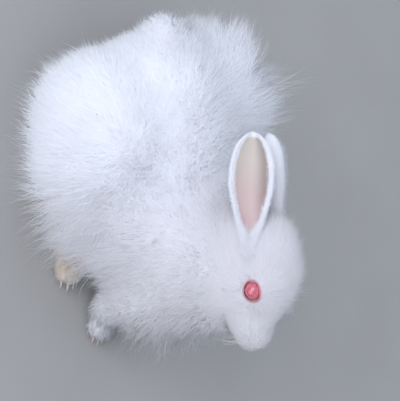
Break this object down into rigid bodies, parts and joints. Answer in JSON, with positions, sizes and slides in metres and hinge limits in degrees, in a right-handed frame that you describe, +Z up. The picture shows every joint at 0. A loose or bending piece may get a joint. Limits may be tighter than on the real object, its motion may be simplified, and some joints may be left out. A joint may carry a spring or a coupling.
{
  "type": "angora rabbit",
  "caption": "Life-size young white angora rabbit in long wool, sitting with its head up, its ears laid back and its paws on the floor.",
  "frame": {"origin": "on the floor, under the middle of the bounding box", "axes": "+X the way the body points, +Y the rabbit's left, +Z up from the floor it sits on"},
  "size_m": [0.2618, 0.2086, 0.1818],
  "materials": {
    "body_wool": "long soft wool, cool white",
    "face_wool": "short to long soft wool, warm white",
    "foot_fur": "short fur, white stained tan",
    "ear_skin": "thin pink skin with short white fur",
    "eye": "wet, pink iris"
  },
  "bodies": {
    "root": {"head": "face_wool", "neck": "face_wool", "breast": "face_wool", "trunk": "body_wool", "rump": "body_wool", "thigh_right": "body_wool", "thigh_left": "body_wool", "tail": "body_wool", "hind_foot_right": "foot_fur", "hind_foot_left": "foot_fur", "fore_leg_right": "body_wool", "fore_leg_left": "body_wool", "ear_right": "ear_skin", "ear_left": "ear_skin", "eye_right": "eye", "eye_left": "eye"}
  },
  "joints": []
}
